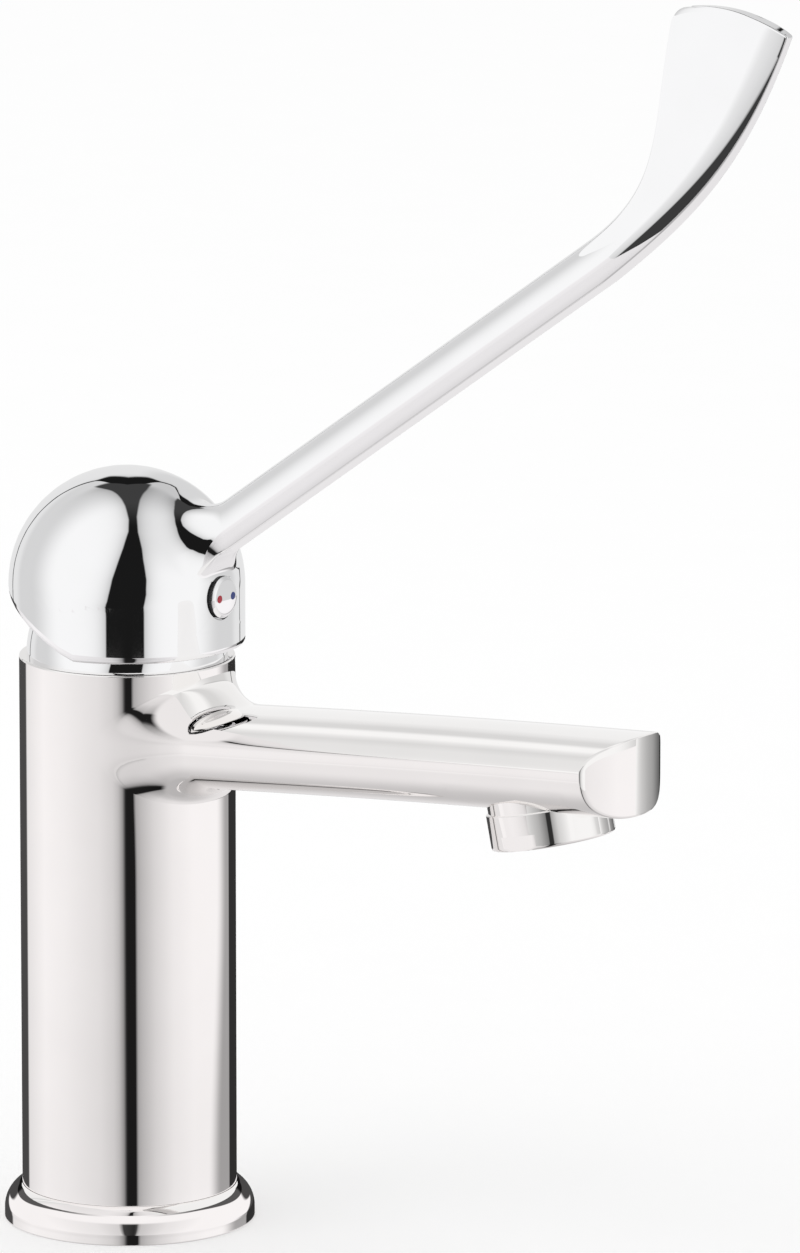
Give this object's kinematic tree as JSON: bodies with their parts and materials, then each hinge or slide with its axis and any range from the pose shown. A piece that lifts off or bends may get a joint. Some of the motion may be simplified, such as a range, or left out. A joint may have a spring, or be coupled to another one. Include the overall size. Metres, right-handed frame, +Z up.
{
  "type": "elbow lever basin mixer",
  "caption": "Chrome single-hole basin mixer with a round column, a rising spout with a tilted aerator, and a domed handle whose long arm ends in an upright paddle for the elbow.",
  "frame": {"origin": "centre of the column's open foot, in the plane where the base ring stands on the deck", "axes": "+X from the column axis along the spout, +Z up the column axis, -Y the hot side"},
  "size_m": [0.1982, 0.0548, 0.2818],
  "materials": {
    "chrome_plate": "polished",
    "nut_brass": "machined",
    "seal_rubber": "matt",
    "white_plastic": "moulded",
    "grey_plastic": "moulded",
    "disc_ceramic": "lapped",
    "plain_steel": "ground",
    "hot_red": "gloss",
    "cold_blue": "gloss"
  },
  "bodies": {
    "fixed_body": {"base_ring": "chrome_plate", "base_seal": "seal_rubber", "body": "chrome_plate", "port_seals": "seal_rubber", "cartridge_base": "white_plastic", "disc_seals": "seal_rubber", "fixed_disc": "disc_ceramic", "cartridge_housing": "grey_plastic", "bore_seal": "seal_rubber", "retaining_nut": "nut_brass", "neck_shroud": "chrome_plate", "aerator_housing": "chrome_plate", "aerator_insert": "grey_plastic", "aerator_screen": "plain_steel", "aerator_washer": "seal_rubber"},
    "turret_body": {"turret": "white_plastic", "pivot_pin": "plain_steel"},
    "slider": {"moving_disc": "disc_ceramic", "disc_carrier": "white_plastic"},
    "lever": {"stem": "plain_steel", "lever_handle": "chrome_plate", "grub_screw": "plain_steel", "index_cap": "chrome_plate", "hot_mark": "hot_red", "cold_mark": "cold_blue"}
  },
  "joints": [
    {"name": "lever_turn", "type": "hinge", "parent": "fixed_body", "child": "turret_body", "pos_m": [0, 0, 0.125], "axis": [0, 0, 1], "range_deg": [-50, 50]},
    {"name": "lever_lift", "type": "hinge", "parent": "turret_body", "child": "lever", "pos_m": [0, 0, 0.125], "axis": [0, -1, 0], "range_deg": [0, 25]},
    {"name": "disc_slide", "type": "slide", "parent": "turret_body", "child": "slider", "axis": [1, 0, 0], "range_m": [0, 0.0054]}
  ],
  "couplings": [
    {"joint": "disc_slide", "follows": "lever_lift", "m_per_rad": 0.012108}
  ]
}
